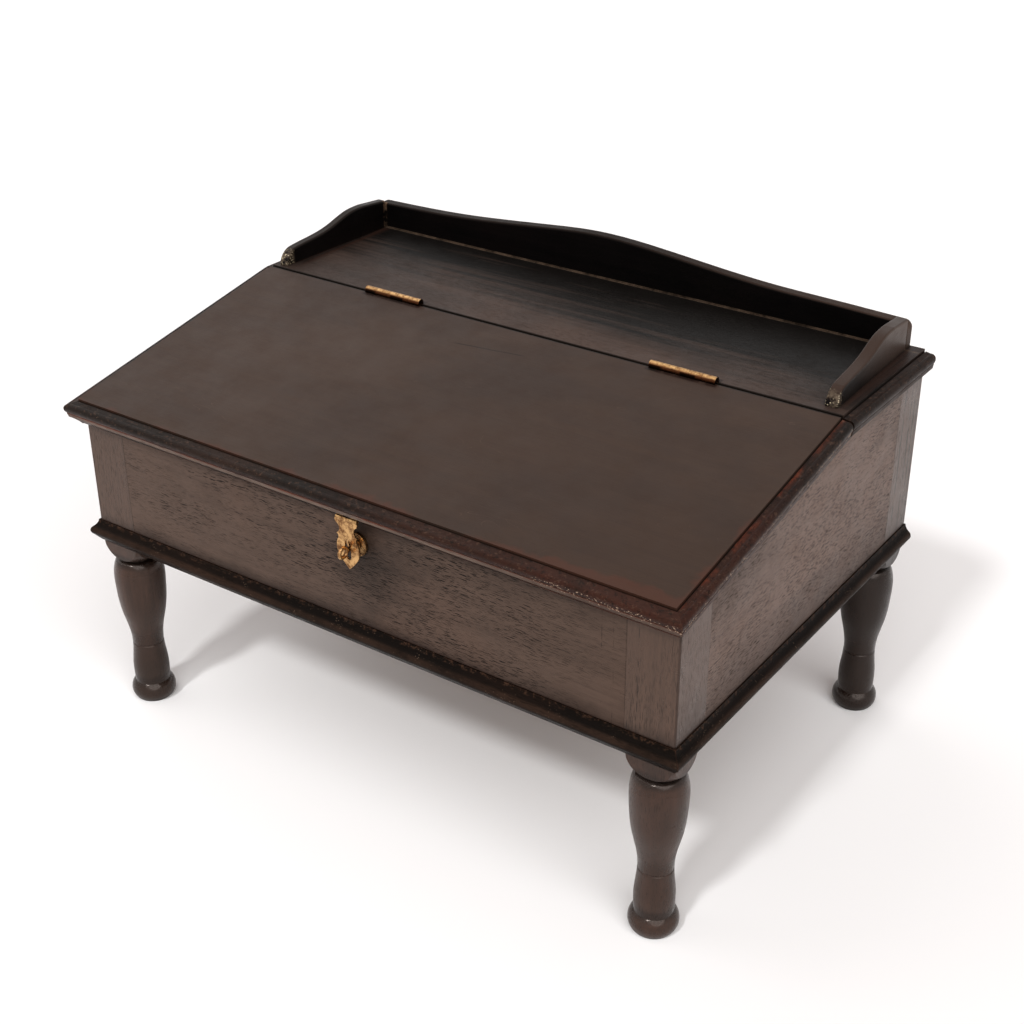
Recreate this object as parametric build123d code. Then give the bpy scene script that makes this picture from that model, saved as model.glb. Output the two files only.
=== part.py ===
from build123d import *
import os
from math import cos, radians, sin, tan

# Slant-top lap desk on four short turned legs. Millimetres, +Z up, front towards -Y.
# The origin is the middle of the footprint on the floor, staple and leg bulges included.

# ---- case -------------------------------------------------------------------------------
case_width = 486.0        # outside, over the side boards
case_depth = 330.0        # outside, front board to rear board
case_bottom = 138.3       # underside of the case boards above the floor
board = 14.0              # thickness of the case boards
post = 35.0               # square of the corner posts
post_round = 1.2          # worn arris of a post
tenon_thick = 6.0
tenon_length = 10.0
tenon_shoulder = 9.0      # wood left above and below a tenon
mortise_gap = 0.1
bottom_thick = 7.0
bottom_rise = 6.0         # underside of the bottom board above the boards' lower edges
groove_depth = 5.0
groove_gap = 0.2

# ---- shelf and lid ----------------------------------------------------------------------
shelf_top = 292.0
shelf_depth = 132.0       # from the hinge line to the back
shelf_thick = 12.0
lid_thick = 12.0
lid_slope = 10.6          # degrees
lid_overhang = 5.5        # lid board in front of the front board
edge_inset = 1.0          # ends of lid and shelf boards inside the case sides
hinge_gap = 2.0           # open joint between lid and shelf
worn_edge = 0.7           # rounding of the lid and shelf along their edges
lid_seat_gap = 0.15       # lid board above the rim of the case
lip_gap = 0.5             # lid mouldings outside the case faces
patch_length = 14.0       # short moulding piece at the front of each shelf end

# ---- moulding round the lid and the shelf ends --------------------------------------------
edge_out = 8.5            # board edge to nose
edge_step = 1.7           # fall from the board to the moulding
edge_nose = 5.8           # nose below the board's top
edge_groove = 0.9         # sinking beside the board's edge
edge_quirk = 9.2
edge_lip = 12.8           # lower end of the square lip
edge_drop = 20.5          # whole height

# ---- moulding round the foot of the case --------------------------------------------------
base_height = 16.7
base_out = 6.0
base_nose = 7.9           # height of the nose above the moulding's underside
base_round = 3.2          # half the thickness of the nose
base_foot = 0.8           # lower edge of the moulding in front of the case

# ---- gallery ------------------------------------------------------------------------------
gallery_half = 233.2      # half its length
gallery_shift = -1.8      # it is fixed a little left of the middle
gallery_thick = 10.0
gallery_end = 21.0        # height of the back board at its left end
gallery_drop = 1.4        # its right end is lower by this much
gallery_crown = 33.2      # height of the back board at its crown
crown_x = -24.0           # the crown from the middle of the back board
hump_start = 28.2         # foot of the hump from the board's left end
hump_end = 43.2           # foot of the hump from its right end
bracket_thick = {"left": 7.8, "right": 9.2}
bracket_toe = {"left": 4.4, "right": 8.0}     # toe of a bracket behind the hinge line
bracket_splay = 1.7       # degrees, toes outwards
bracket_low = 12.0        # height over the toe
bracket_high = 24.6
gallery_round = 1.6       # softened top edges

# ---- legs ---------------------------------------------------------------------------------
leg_axis_x = 17.4         # turned axis from the side of the case
leg_axis_y = 15.0         # turned axis from the front or back of the case
bun_radius = 16.6
bun_height = 14.6
ankle_radius = 13.3
waist_radius = 11.7
waist_height = 54.0
vase_radius = 18.6
vase_height = 101.0
neck_radius = 12.6
neck_height = 124.2
block_radius = 22.0       # corners of the square block rounded to this under the case

# ---- butt hinges --------------------------------------------------------------------------
hinge_places = {"left": -120.0, "right": 127.0}
hinge_length = 50.8
knuckle_radius = 3.0
knuckle_count = 5
knuckle_gap = 0.2
knuckle_rise = 1.0        # hinge axis above the shelf
knuckle_room = 0.35       # hollow round the barrel in the two boards
pin_radius = 1.3
pin_gap = 0.05
leaf_thick = 1.1
leaf_drop = 11.0          # lower edge of a leaf below the hinge axis
leaf_gap = 0.2            # between the two closed leaves
screw_pitch = 17.0
screw_radius = 1.3
screw_head = 2.5
screw_length = 11.0
screw_gap = 0.03

# ---- hasp ---------------------------------------------------------------------------------
hasp_x = 6.0
hasp_lean = 0.04          # sideways per length, the plate hangs a little askew
hasp_axis_out = 8.6       # hasp pin in front of the front board
hasp_below = 4.6          # hasp pin below the lid board's lower front edge
hasp_thick = 1.2
hasp_knuckle = 1.35
hasp_pin = 0.65
hasp_roof_gap = 0.5       # above the barrel, for the plate to swing
hasp_barrel_room = 0.12   # round the leaf's knuckles in the plate
hasp_barrel_inset = 0.5   # ends of the barrel inside the plate's top corners
hasp_half = 9.2           # half the width at the top
hasp_length = 35.4        # pin to tip
slot_half = 2.3
slot_top = 13.4           # below the pin
slot_bottom = 28.6
hasp_leaf_depth = 6.4
hasp_screw_x = 5.6
hasp_screw_length = 3.8
rose_radius = 8.2
rose_thick = 1.2
rose_rim = 2.0
rose_rim_width = 1.4
loop_drop = 21.3          # centre of the staple's loop below the hasp pin
loop_radius = 3.4         # to the middle of the wire
loop_wire = 1.3
shank_radius = 1.6
shank_gap = 0.06          # running fit of the shank in the board and rose
collar_radius = 3.2
collar_thick = 0.9
washer_radius = 5.0
washer_thick = 1.2
rivet_radius = 2.9
rivet_thick = 1.3
turn_gap = 0.3            # free play along the staple and in front of the plate

# ---- worked-out places --------------------------------------------------------------------
loop_out = hasp_axis_out + hasp_knuckle + turn_gap + loop_radius + loop_wire
front_reach = loop_out + loop_radius + loop_wire
rear_reach = vase_radius - leg_axis_y
front_y = -(case_depth + front_reach + rear_reach) / 2 + front_reach
rear_y = front_y + case_depth
side_x = case_width / 2
edge_x = side_x - edge_inset
hinge_y = rear_y - shelf_depth
axis_z = shelf_top + knuckle_rise
slope = radians(lid_slope)
lid_length = (hinge_y - front_y + lid_overhang) / cos(slope)
lid_place = Location((0, hinge_y, shelf_top), (lid_slope, 0, 0))
lid_low = shelf_top - lid_length * sin(slope) - lid_thick / cos(slope)
hasp_axis_z = lid_low - hasp_below
SIDES = {"left": -1, "right": 1}
ENDS = {"front": front_y, "rear": rear_y}
reach = case_width + case_depth     # longer than any piece, for cutting tools


def box(x0, x1, y0, y1, z0, z1):
    """A box between two corners."""
    solid = Box(abs(x1 - x0), abs(y1 - y0), abs(z1 - z0))
    return Pos((x0 + x1) / 2, (y0 + y1) / 2, (z0 + z1) / 2) * solid


def prism(points, plane, length):
    """A polygon of the plane, extruded along its normal."""
    return extrude(plane * make_face(Polyline(*points, close=True)), length)


def mirrored(shape, side):
    """The right-hand shape as it is, or its mirror image for the left."""
    return shape if side > 0 else mirror(shape, about=Plane.YZ)


# ---- the rim that the lid and the shelf rest on -------------------------------------------
def rim_height(y):
    """Top of the case at y: under the sloping lid in front, under the level shelf behind."""
    under_lid = shelf_top - (hinge_y - y) * tan(slope) - (lid_thick + lid_seat_gap) / cos(slope)
    return min(under_lid, shelf_top - shelf_thick)


def above_rim():
    """Everything above the rim, to cut the posts and boards to height."""
    level = shelf_top - shelf_thick
    turn_y = hinge_y + (rim_height(hinge_y) - level) / -tan(slope)
    low_y = front_y - board
    points = [(low_y, rim_height(low_y)), (turn_y, level), (rear_y + board, level),
              (rear_y + board, level + reach), (low_y, level + reach)]
    return prism(points, Plane.YZ.offset(-reach / 2), reach)


# ---- legs with their posts -----------------------------------------------------------------
def turned_profile():
    """Half of the turned outline, from the floor up to the square block, as edges in r and z."""
    foot = [(0, 0), (0.82 * bun_radius, 0)]
    bun = ThreePointArc(foot[1], (bun_radius, bun_height / 2), (ankle_radius + 0.5, bun_height))
    ankle = (ankle_radius, bun_height + 0.5)
    score = 0.35
    lower = Spline(ankle, (ankle_radius, bun_height + 16), (waist_radius, waist_height - 6),
                   tangents=[(0, 1), (-0.02, 1)])
    ring = [(waist_radius, waist_height - 6), (waist_radius - score, waist_height - 5.4),
            (waist_radius - score, waist_height - 4.8), (waist_radius, waist_height - 4.2)]
    shoulder = (neck_radius + 1.6, neck_height - 1.2)
    upper = Spline(ring[-1], (waist_radius + 1.1, waist_height + 8),
                   (0.87 * vase_radius, waist_height + 23), (vase_radius, vase_height),
                   (0.96 * vase_radius, neck_height - 8.0), (0.88 * vase_radius, neck_height - 3.4),
                   shoulder, tangents=[(0, 1), (-1, 0.35)])
    neck = [shoulder, (neck_radius, neck_height - 0.5), (neck_radius, neck_height + 0.5),
            (neck_radius + 2.6, neck_height + 1.4)]
    corner = 1.02 * ((post / 2) ** 2 * 2) ** 0.5 + abs(leg_axis_x - post / 2) + abs(leg_axis_y - post / 2)
    cup_mid = 0.5 * (neck[-1][1] + case_bottom)
    cup = ThreePointArc(neck[-1], (0.5 * (neck[-1][0] + block_radius) + 1.3, cup_mid - 1.3),
                        (block_radius, case_bottom))
    top = [(block_radius, case_bottom), (corner, case_bottom), (corner, shelf_top), (0, shelf_top), (0, 0)]
    edges = [Line(foot[0], foot[1]), bun, Line(bun @ 1, ankle), lower]
    edges += [Line(a, b) for a, b in zip(ring, ring[1:])]
    edges += [upper] + [Line(a, b) for a, b in zip(neck, neck[1:])] + [cup]
    edges += [Line(a, b) for a, b in zip(top, top[1:])]
    return edges


def mortise(width_along_x, x, y, z0, z1):
    """A pocket for a tenon whose thickness runs across the board."""
    half = tenon_thick / 2 + mortise_gap
    long = tenon_length + mortise_gap
    if width_along_x:
        return box(x - long, x + long, y - half, y + half, z0 - mortise_gap, z1 + mortise_gap)
    return box(x - half, x + half, y - long, y + long, z0 - mortise_gap, z1 + mortise_gap)


def tenon_span(y):
    """Lower and upper height of the tenons at y."""
    return case_bottom + tenon_shoulder + bottom_thick, rim_height(y) - tenon_shoulder


def leg(side, end):
    """One leg, square above and turned below, for the side -1 or 1 and the end -1 or 1."""
    y_out = front_y if end < 0 else rear_y
    ax = side * (side_x - leg_axis_x)
    ay = y_out - end * leg_axis_y
    turned = revolve(Plane.XZ * make_face(turned_profile()), Axis.Z)
    x_in = side_x - post
    y_in = y_out - end * post
    square = box(side * x_in, side * side_x, y_in, y_out, neck_height - 12, shelf_top)
    arris = square.edges().filter_by(Axis.Z).sort_by_distance(Vector(side * side_x, y_out, 0))[0]
    square = fillet(arris, post_round)
    low = box(ax - reach, ax + reach, ay - reach, ay + reach, 0, neck_height + 0.5)
    blank = Pos(ax, ay, 0) * turned
    body = (blank & low) + (blank & square)
    body -= above_rim()
    z0, z1 = tenon_span(front_y if end < 0 else rear_y)
    body -= mortise(True, side * x_in, y_out - end * board / 2, z0, z1)
    side_z1 = rim_height(front_y + post - tenon_length) if end < 0 else rim_height(rear_y)
    body -= mortise(False, side * (side_x - board / 2), y_in, z0, side_z1 - tenon_shoulder)
    return body


# ---- case boards -----------------------------------------------------------------------------
def groove(inset=0.0):
    """The groove for the bottom board, or with an inset the bottom board itself."""
    x = side_x - board + groove_depth - inset
    y0 = front_y + board - groove_depth + inset
    y1 = rear_y - board + groove_depth - inset
    z0 = case_bottom + bottom_rise + inset / 2
    return box(-x, x, y0, y1, z0, z0 + bottom_thick - inset)


def long_board(end):
    """Front or rear board between the posts, with a stub tenon at each end."""
    y_out = front_y if end < 0 else rear_y
    y_in = y_out - end * board
    x = side_x - post
    z0, z1 = tenon_span(y_out)
    middle = y_out - end * board / 2
    body = box(-x, x, y_in, y_out, case_bottom, shelf_top) - above_rim()
    half = tenon_thick / 2
    body += box(-x - tenon_length, x + tenon_length, middle - half, middle + half, z0, z1)
    if end < 0:
        body -= staple_hole()
    return body - groove()


def side_board(side):
    """A side board between the posts, its top cut to the slope of the lid."""
    x_out = side * side_x
    x_in = side * (side_x - board)
    y0 = front_y + post
    y1 = rear_y - post
    z0 = tenon_span(front_y)[0]
    body = box(x_in, x_out, y0, y1, case_bottom, shelf_top) - above_rim()
    middle = side * (side_x - board / 2)
    half = tenon_thick / 2
    top_front = rim_height(front_y + post - tenon_length) - tenon_shoulder
    top_rear = rim_height(rear_y) - tenon_shoulder
    body += box(middle - half, middle + half, y0 - tenon_length, y0 + board, z0, top_front)
    body += box(middle - half, middle + half, y1 - board, y1 + tenon_length, z0, top_rear)
    return body - groove()


def bottom_board():
    """The bottom, held in the grooves and notched round the four posts."""
    body = groove(groove_gap)
    z0 = case_bottom
    for side in (-1, 1):
        for end in (-1, 1):
            y_out = front_y if end < 0 else rear_y
            x_in = side * (side_x - post - groove_gap)
            y_in = y_out - end * (post + groove_gap)
            body -= box(x_in, side * reach, y_in, y_out + end * reach, z0, shelf_top)
    return body


# ---- mouldings ---------------------------------------------------------------------------------
def edge_section(inner_low, seat):
    """Section of the lid and shelf moulding: x outwards from the board's edge, y up from its top.

    Below the seat depth the moulding's back stands at inner_low."""
    band = (0.52 * edge_out, -edge_step - 0.7)
    nose = (edge_out, -edge_nose)
    quirk = (edge_out - 1.1, -edge_quirk)
    lip = (edge_out - 0.9, -edge_quirk - 0.4)
    lip_low = (edge_out - 1.4, -edge_lip)
    foot = (inner_low, -edge_drop)
    start = (0, -edge_step - edge_groove)
    shoulder = (edge_groove, -edge_step)
    round_top = ThreePointArc(band, (edge_out - 1.1, -0.55 * edge_nose), nose)
    round_low = ThreePointArc(nose, (edge_out - 0.2, -0.5 * (edge_nose + edge_quirk)), quirk)
    mid_x = 0.5 * (lip_low[0] + max(foot[0], 1.0))
    mid_y = -0.5 * (edge_lip + edge_drop)
    cove_foot = (max(foot[0], 1.0), -edge_drop)
    cove = ThreePointArc(lip_low, (mid_x - 0.3, mid_y + 0.3), cove_foot)
    back = [cove_foot] + ([foot] if foot != cove_foot else [])
    back += [(inner_low, -seat), (0, -seat), start]
    edges = [Line(start, shoulder), Line(shoulder, band), round_top, round_low]
    edges += [Line(quirk, lip), Line(lip, lip_low), cove]
    return edges + [Line(a, b) for a, b in zip(back, back[1:])]


def base_section():
    """Section of the foot moulding: x outwards from the case, y up from its underside."""
    arris = 0.9
    over = (base_out - 1.5, base_nose + base_round)
    under = (base_out - 1.5, base_nose - base_round)
    middle = (0.5 * over[0] - 0.1, 0.5 * (base_height + over[1]) - 0.5)
    hollow = ThreePointArc((arris, base_height), middle, over)
    nose = ThreePointArc(over, (base_out, base_nose), under)
    edges = [Line((0, 0), (0, base_height)), Line((0, base_height), (arris, base_height))]
    return edges + [hollow, nose, Line(under, (base_foot, 0)), Line((base_foot, 0), (0, 0))]


def mitred(section, corner_x, front, rear, side_only):
    """A moulding of a section that turns a front corner with a mitre.

    side_only gives the right-hand run from the mitre back to rear; otherwise the front run."""
    long = 2 * reach
    out = edge_out + 4
    deep = 60.0
    if side_only:
        end = Plane((corner_x, rear, 0), x_dir=(1, 0, 0), z_dir=(0, -1, 0))
        run = extrude(end * make_face(section), long)
        wedge = [(corner_x - deep, front + deep), (corner_x + out, front - out), (corner_x + out, rear),
                 (corner_x - deep, rear)]
    else:
        run = extrude(Plane((reach, front, 0), x_dir=(0, -1, 0), z_dir=(-1, 0, 0)) * make_face(section), long)
        wedge = [(-corner_x - out, front - out), (corner_x + out, front - out),
                 (corner_x - deep, front + deep), (-corner_x + deep, front + deep)]
    keep = prism(wedge, Plane.XY.offset(-reach / 2), reach)
    return run & keep


def base_moulding(place):
    """The front, left or right strip at the foot of the case; there is none at the back."""
    low = Pos(0, 0, case_bottom)
    if place == "front":
        return low * mitred(base_section(), side_x, front_y, rear_y, False)
    return low * mirrored(mitred(base_section(), side_x, front_y, rear_y, True), SIDES[place])


def shelf_moulding(side, y0, y1):
    """A length of the shelf's end moulding, planted against the case side."""
    section = make_face(edge_section(edge_inset, shelf_thick))
    plane = Plane((edge_x, y1, shelf_top), x_dir=(1, 0, 0), z_dir=(0, -1, 0))
    return mirrored(extrude(plane * section, y1 - y0), side)


def behind_hinge_gap():
    """Everything behind the lid's rear edge, to trim the lid's pieces plumb."""
    return box(-reach, reach, hinge_y - hinge_gap / 2, reach, 0, reach)


def lid_moulding(place):
    """A strip round the lid, in the lid's slope, with a lip that hangs outside the case."""
    if place == "front":
        strip = mitred(edge_section(-lid_overhang, lid_thick), edge_x, -lid_length, 20.0, False)
        strip = lid_place * strip
        strip -= box(-reach, reach, front_y - lip_gap, reach, 0, reach)
        return strip - hasp_seat()
    section = edge_section(edge_inset + lip_gap, lid_thick)
    strip = lid_place * mitred(section, edge_x, -lid_length, 20.0, True)
    return mirrored(strip - behind_hinge_gap(), SIDES[place])


# ---- gallery -----------------------------------------------------------------------------------
def gallery_corner(end_x, inward, height):
    """A rounded upper corner of the back board, from its end to its top."""
    return ThreePointArc((end_x, height - 6.0), (end_x + 1.5 * inward, height - 2.2),
                         (end_x + 6.0 * inward, height - 0.4))


def hump_flank(length, foot, shape):
    """Points down one side of the hump: (share of its length, share of its rise) from the crown."""
    return [(crown_x + share * length, foot + up * (gallery_crown - foot)) for share, up in shape]


def gallery_back():
    """The back board with its humped top and rounded ends."""
    corner_left = gallery_corner(-gallery_half, 1, gallery_end)
    corner_right = gallery_corner(gallery_half, -1, gallery_end - gallery_drop)
    left = hump_flank(hump_start - gallery_half - crown_x, gallery_end - 0.1,
                      [(1.0, 0), (0.70, 0.15), (0.42, 0.48), (0.23, 0.75)])
    right = hump_flank(gallery_half - hump_end - crown_x, gallery_end - 0.5,
                       [(0.26, 0.81), (0.48, 0.45), (0.68, 0.18), (1.0, 0)])
    hump = Spline(*left, (crown_x, gallery_crown), *right, tangents=[(1, 0.02), (1, -0.035)])
    foot_left, foot_right = (-gallery_half, 0), (gallery_half, 0)
    edges = [Line(foot_left, corner_left @ 0), corner_left, Line(corner_left @ 1, hump @ 0), hump,
             Line(hump @ 1, corner_right @ 1), corner_right, Line(corner_right @ 0, foot_right),
             Line(foot_right, foot_left)]
    plane = Plane((gallery_shift, rear_y, shelf_top), x_dir=(1, 0, 0), z_dir=(0, -1, 0))
    body = extrude(plane * make_face(edges), gallery_thick)
    return soften_top(body)


def soften_top(body):
    """Round the long upper edges of a gallery piece."""
    low = body.bounding_box().min.Z + 1.0
    picked = [e for e in body.edges()
              if e.bounding_box().min.Z > low
              and max(abs(e.bounding_box().size.X), abs(e.bounding_box().size.Y)) > gallery_thick]
    return fillet(picked, gallery_round)


def gallery_bracket(name):
    """A side bracket: a rounded toe, a long low sweep and an ogee up to the back board."""
    butt_y = rear_y - gallery_thick
    toe_y = hinge_y + bracket_toe[name]
    length = butt_y - toe_y
    toe = ThreePointArc((0, 0), (3.2, 0.64 * bracket_low), (0.09 * length, bracket_low))
    sweep = Spline(toe @ 1, (0.26 * length, bracket_low + 2.0), (0.45 * length, bracket_low + 5.2),
                   (0.64 * length, bracket_high - 1.2), (0.79 * length, bracket_high),
                   tangents=[(1, 0.16), (1, 0.0)])
    rear = (length + 1, bracket_high - 2.2)
    edges = [toe, sweep, Line(sweep @ 1, rear), Line(rear, (length + 1, 0)), Line((length + 1, 0), (0, 0))]
    plane = Plane((-bracket_thick[name], -length, 0), x_dir=(0, 1, 0), z_dir=(1, 0, 0))
    body = soften_top(extrude(plane * make_face(edges), bracket_thick[name]))
    body = Pos(gallery_half, butt_y, shelf_top) * Rot(0, 0, bracket_splay) * body
    body -= box(0, reach, butt_y, reach, shelf_top, shelf_top + reach)
    return Pos(gallery_shift, 0, 0) * mirrored(body, SIDES[name])


# ---- hinges ------------------------------------------------------------------------------------
def knuckle_spans(own):
    """The x spans of the even (own 0) or odd (own 1) knuckles about the hinge's middle."""
    pitch = hinge_length / knuckle_count
    start = -hinge_length / 2
    return [(start + i * pitch + knuckle_gap / 2, start + (i + 1) * pitch - knuckle_gap / 2)
            for i in range(own, knuckle_count, 2)]


def rod(x0, x1, y, z, radius):
    """A round bar along X."""
    return Pos((x0 + x1) / 2, y, z) * Rot(0, 90, 0) * Cylinder(radius, x1 - x0)


def screw_places(x):
    """The three screws of a leaf: x, and the height of their axis."""
    return [(x + k * screw_pitch, axis_z - 0.6 * leaf_drop) for k in (-1, 0, 1)]


def screw(x, z, face_y, way, length, grow=0.0):
    """A countersunk screw along Y whose head is flush with face_y; way is -1 or 1."""
    head_depth = screw_head - screw_radius
    shank = Cylinder(screw_radius + grow, length, align=(Align.CENTER, Align.CENTER, Align.MIN))
    head = Cone(screw_head + grow, screw_radius + grow, head_depth,
                align=(Align.CENTER, Align.CENTER, Align.MIN))
    return Pos(x, face_y, z) * Rot(-90 * way, 0, 0) * (shank + head)


def leaf_face(way):
    """The y of a leaf's face towards the other leaf."""
    return hinge_y + way * leaf_gap / 2


def hinge_leaf(x, way):
    """One leaf with its knuckles: way 1 for the shelf, -1 for the lid."""
    face = leaf_face(way)
    half = hinge_length / 2
    plate = box(x - half, x + half, face, face + way * leaf_thick, axis_z - leaf_drop, axis_z)
    body = plate - rod(x - half - 1, x + half + 1, hinge_y, axis_z, knuckle_radius + knuckle_gap)
    own = 0 if way > 0 else 1
    for x0, x1 in knuckle_spans(own):
        body += rod(x + x0, x + x1, hinge_y, axis_z, knuckle_radius)
        body += box(x + x0, x + x1, face, face + way * leaf_thick, axis_z - knuckle_radius - 1,
                    axis_z - 0.5 * knuckle_radius)
    body -= rod(x - half - 1, x + half + 1, hinge_y, axis_z, pin_radius + pin_gap)
    for sx, sz in screw_places(x):
        body -= screw(sx, sz, face, way, screw_length, screw_gap)
    return body


def hinge_pin(x):
    """The pin, a little short of the barrel at each end."""
    half = hinge_length / 2 - 0.9
    return rod(x - half, x + half, hinge_y, axis_z, pin_radius)


def hinge_housing(x, way):
    """What a hinge takes out of the board on its side: barrel hollow, leaf recess, screw holes."""
    half = hinge_length / 2 + knuckle_room
    face = leaf_face(way)
    cut = rod(x - half, x + half, hinge_y, axis_z, knuckle_radius + knuckle_room)
    cut += box(x - half, x + half, hinge_y, face + way * leaf_thick, axis_z - leaf_drop - 0.1, reach)
    for sx, sz in screw_places(x):
        cut += screw(sx, sz, face, way, screw_length, screw_gap)
    return cut


def hinge_screws(way):
    """All screws of the shelf leaves (way 1) or of the lid leaves (way -1)."""
    return Compound([screw(sx, sz, leaf_face(way), way, screw_length).solid()
                     for x in hinge_places.values() for sx, sz in screw_places(x)])


def shelf_board():
    """The fixed shelf behind the lid."""
    y0 = hinge_y + hinge_gap / 2
    body = box(-edge_x, edge_x, y0, rear_y, shelf_top - shelf_thick, shelf_top)
    front_arris = body.edges().filter_by(Axis.X).sort_by_distance(Vector(0, y0, shelf_top))[0]
    body = fillet(front_arris, worn_edge)
    for x in hinge_places.values():
        body -= hinge_housing(x, 1)
    return body


def lid_panel():
    """The sloping lid board, its rear edge cut plumb."""
    body = lid_place * box(-edge_x, edge_x, -lid_length, 10, -lid_thick, 0)
    body -= behind_hinge_gap()
    body = fillet(body.faces().sort_by(Axis.Z)[-1].edges(), worn_edge)
    for x in hinge_places.values():
        body -= hinge_housing(x, -1)
    return body


# ---- hasp --------------------------------------------------------------------------------------
hasp_y = front_y - hasp_axis_out
hasp_roof = hasp_axis_z + hasp_knuckle + hasp_roof_gap
plate_front = hasp_y - hasp_knuckle
plate_back = plate_front + hasp_thick
staple_x = hasp_x + hasp_lean * loop_drop
staple_z = hasp_axis_z - loop_drop


def hasp_screw_places():
    """The two screws of the hasp's leaf."""
    return [(hasp_x + k * hasp_screw_x, hasp_y + hasp_knuckle + 0.5 * hasp_leaf_depth) for k in (-1, 1)]


def hasp_screw(x, y, grow=0.0):
    """A small screw driven up through the hasp's leaf."""
    shank = Cylinder(0.9 + grow, hasp_screw_length, align=(Align.CENTER, Align.CENTER, Align.MIN))
    head = Cone(1.7 + grow, 0.9 + grow, 0.8, align=(Align.CENTER, Align.CENTER, Align.MIN))
    return Pos(x, y, hasp_roof - hasp_thick) * (shank + head)


def hasp_seat():
    """What the hasp takes out of the front moulding."""
    half = hasp_half + 0.3
    cut = box(hasp_x - half, hasp_x + half, hasp_y - hasp_knuckle - 0.5, front_y,
              hasp_axis_z - 4, hasp_roof)
    for x, y in hasp_screw_places():
        cut += hasp_screw(x, y, screw_gap)
    return cut


def hasp_spans(own):
    """Knuckles of the hasp: the outer two on the leaf (own 0), the middle one on the plate."""
    third = 2 * (hasp_half - hasp_barrel_inset) / 3
    start = hasp_barrel_inset - hasp_half
    return [(start + i * third + 0.1, start + (i + 1) * third - 0.1) for i in range(own, 3, 2)]


def hasp_leaf():
    """The hasp's fixed leaf, let in under the lid's front moulding."""
    half = hasp_half - hasp_barrel_inset
    body = box(hasp_x - half, hasp_x + half, hasp_y + hasp_knuckle + 0.25,
               hasp_y + hasp_knuckle + hasp_leaf_depth, hasp_roof - hasp_thick, hasp_roof)
    for x0, x1 in hasp_spans(0):
        body += rod(hasp_x + x0, hasp_x + x1, hasp_y, hasp_axis_z, hasp_knuckle)
        body += box(hasp_x + x0, hasp_x + x1, hasp_y, hasp_y + hasp_knuckle + 1,
                    hasp_roof - hasp_thick, hasp_roof)
    body -= rod(hasp_x - half - 1, hasp_x + half + 1, hasp_y, hasp_axis_z, hasp_pin + pin_gap)
    for x, y in hasp_screw_places():
        body -= hasp_screw(x, y, screw_gap)
    return body


def hasp_point(x, depth):
    """A point of the plate: x from its middle and depth below the pin, with the plate's lean."""
    return (x + hasp_lean * depth, -depth)


def hasp_side(way):
    """One side of the plate's outline from the pin down to the tip, as edges in x and z."""
    shoulder = hasp_knuckle + 0.25
    cusp = 11.4
    body_top = 14.4
    lobe = 21.6
    corner = hasp_point(way * (hasp_half - hasp_barrel_inset), 0)
    ear = hasp_point(way * hasp_half, shoulder)
    ear_low = hasp_point(way * 0.93 * hasp_half, shoulder + 2.0)
    waist = hasp_point(way * 0.64 * hasp_half, shoulder + 5.2)
    horn = hasp_point(way * 0.93 * hasp_half, cusp)
    notch = hasp_point(way * 0.80 * hasp_half, cusp + 1.0)
    body = hasp_point(way * 0.78 * hasp_half, body_top)
    belly = hasp_point(way * hasp_half, lobe)
    low = hasp_point(way * 0.66 * hasp_half, lobe + 7.5)
    point = hasp_point(way * 0.26 * hasp_half, hasp_length - 2.2)
    return [Line(hasp_point(0, 0), corner), Line(corner, ear), Line(ear, ear_low),
            ThreePointArc(ear_low, waist, horn), ThreePointArc(horn, notch, body),
            ThreePointArc(body, belly, low), ThreePointArc(low, point, hasp_point(0, hasp_length))]


def hasp_slot():
    """The pointed slot that the staple's loop passes through, as edges in x and z."""
    peak = hasp_point(0, slot_top)
    left_top, right_top = (hasp_point(way * slot_half, slot_top + 3) for way in (-1, 1))
    left_low, right_low = (hasp_point(way * slot_half, slot_bottom - slot_half) for way in (-1, 1))
    round_end = ThreePointArc(right_low, hasp_point(0, slot_bottom), left_low)
    return [Line(peak, right_top), Line(right_top, right_low), round_end, Line(left_low, left_top),
            Line(left_top, peak)]


def hasp_plate():
    """The shaped plate that hangs from the hasp pin, its upper edge rolled into the middle knuckle."""
    plane = Plane((hasp_x, plate_back, hasp_axis_z), x_dir=(1, 0, 0), z_dir=(0, -1, 0))
    body = extrude(plane * make_face(hasp_side(1) + hasp_side(-1)), hasp_thick)
    body -= extrude(plane * make_face(hasp_slot()), hasp_thick)
    for x0, x1 in hasp_spans(0):
        room = hasp_barrel_room
        body -= rod(hasp_x + x0 - room, hasp_x + x1 + room, hasp_y, hasp_axis_z, hasp_knuckle + room)
    for x0, x1 in hasp_spans(1):
        body += rod(hasp_x + x0, hasp_x + x1, hasp_y, hasp_axis_z, hasp_knuckle)
    return body - rod(hasp_x - hasp_half, hasp_x + hasp_half, hasp_y, hasp_axis_z, hasp_pin + pin_gap)


def across_board(y0, y1, radius):
    """A round bar along Y on the staple's axis."""
    bar = Rot(90, 0, 0) * Cylinder(radius, y1 - y0)
    return Pos(staple_x, (y0 + y1) / 2, staple_z) * bar


def staple_loop():
    """The swivel loop in line with the slot, its shank, collar and riveted inner end."""
    y_loop = front_y - loop_out
    y_inner = front_y + board
    rose_face = front_y - rose_thick
    rivet_y = y_inner + washer_thick + turn_gap / 2
    body = Pos(staple_x, y_loop, staple_z) * Rot(0, 90, 0) * Torus(loop_radius, loop_wire)
    body += across_board(y_loop + loop_radius, rivet_y + rivet_thick, shank_radius)
    body += across_board(rose_face - turn_gap - collar_thick, rose_face - turn_gap, collar_radius)
    return body + across_board(rivet_y, rivet_y + rivet_thick, rivet_radius)


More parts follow.
